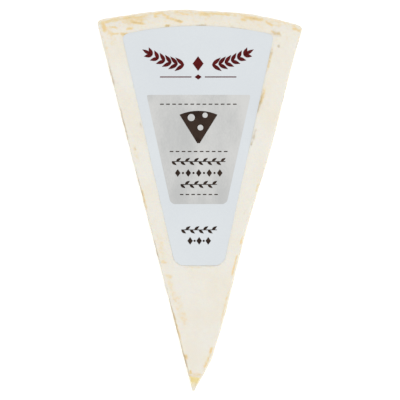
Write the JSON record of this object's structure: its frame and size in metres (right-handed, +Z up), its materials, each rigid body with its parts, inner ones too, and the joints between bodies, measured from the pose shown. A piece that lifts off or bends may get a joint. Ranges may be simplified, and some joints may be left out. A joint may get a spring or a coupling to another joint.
{
  "type": "soft cheese wedge",
  "caption": "Long wedge of soft white-rind cheese cut from a round wheel, lying flat, with a tapered paper label on its top rind.",
  "frame": {"origin": "on the bottom rind, under the middle of the wedge's box", "axes": "+Z up from the bottom rind to the label, +Y from the point towards the rim, +X to the right seen from above with the rim at the top"},
  "size_m": [0.0861, 0.1603, 0.0308],
  "materials": {
    "rind": null,
    "label_paper": "smooth pale blue-grey printed paper"
  },
  "bodies": {
    "root": {"cheese": "rind", "label": "label_paper"}
  },
  "joints": []
}
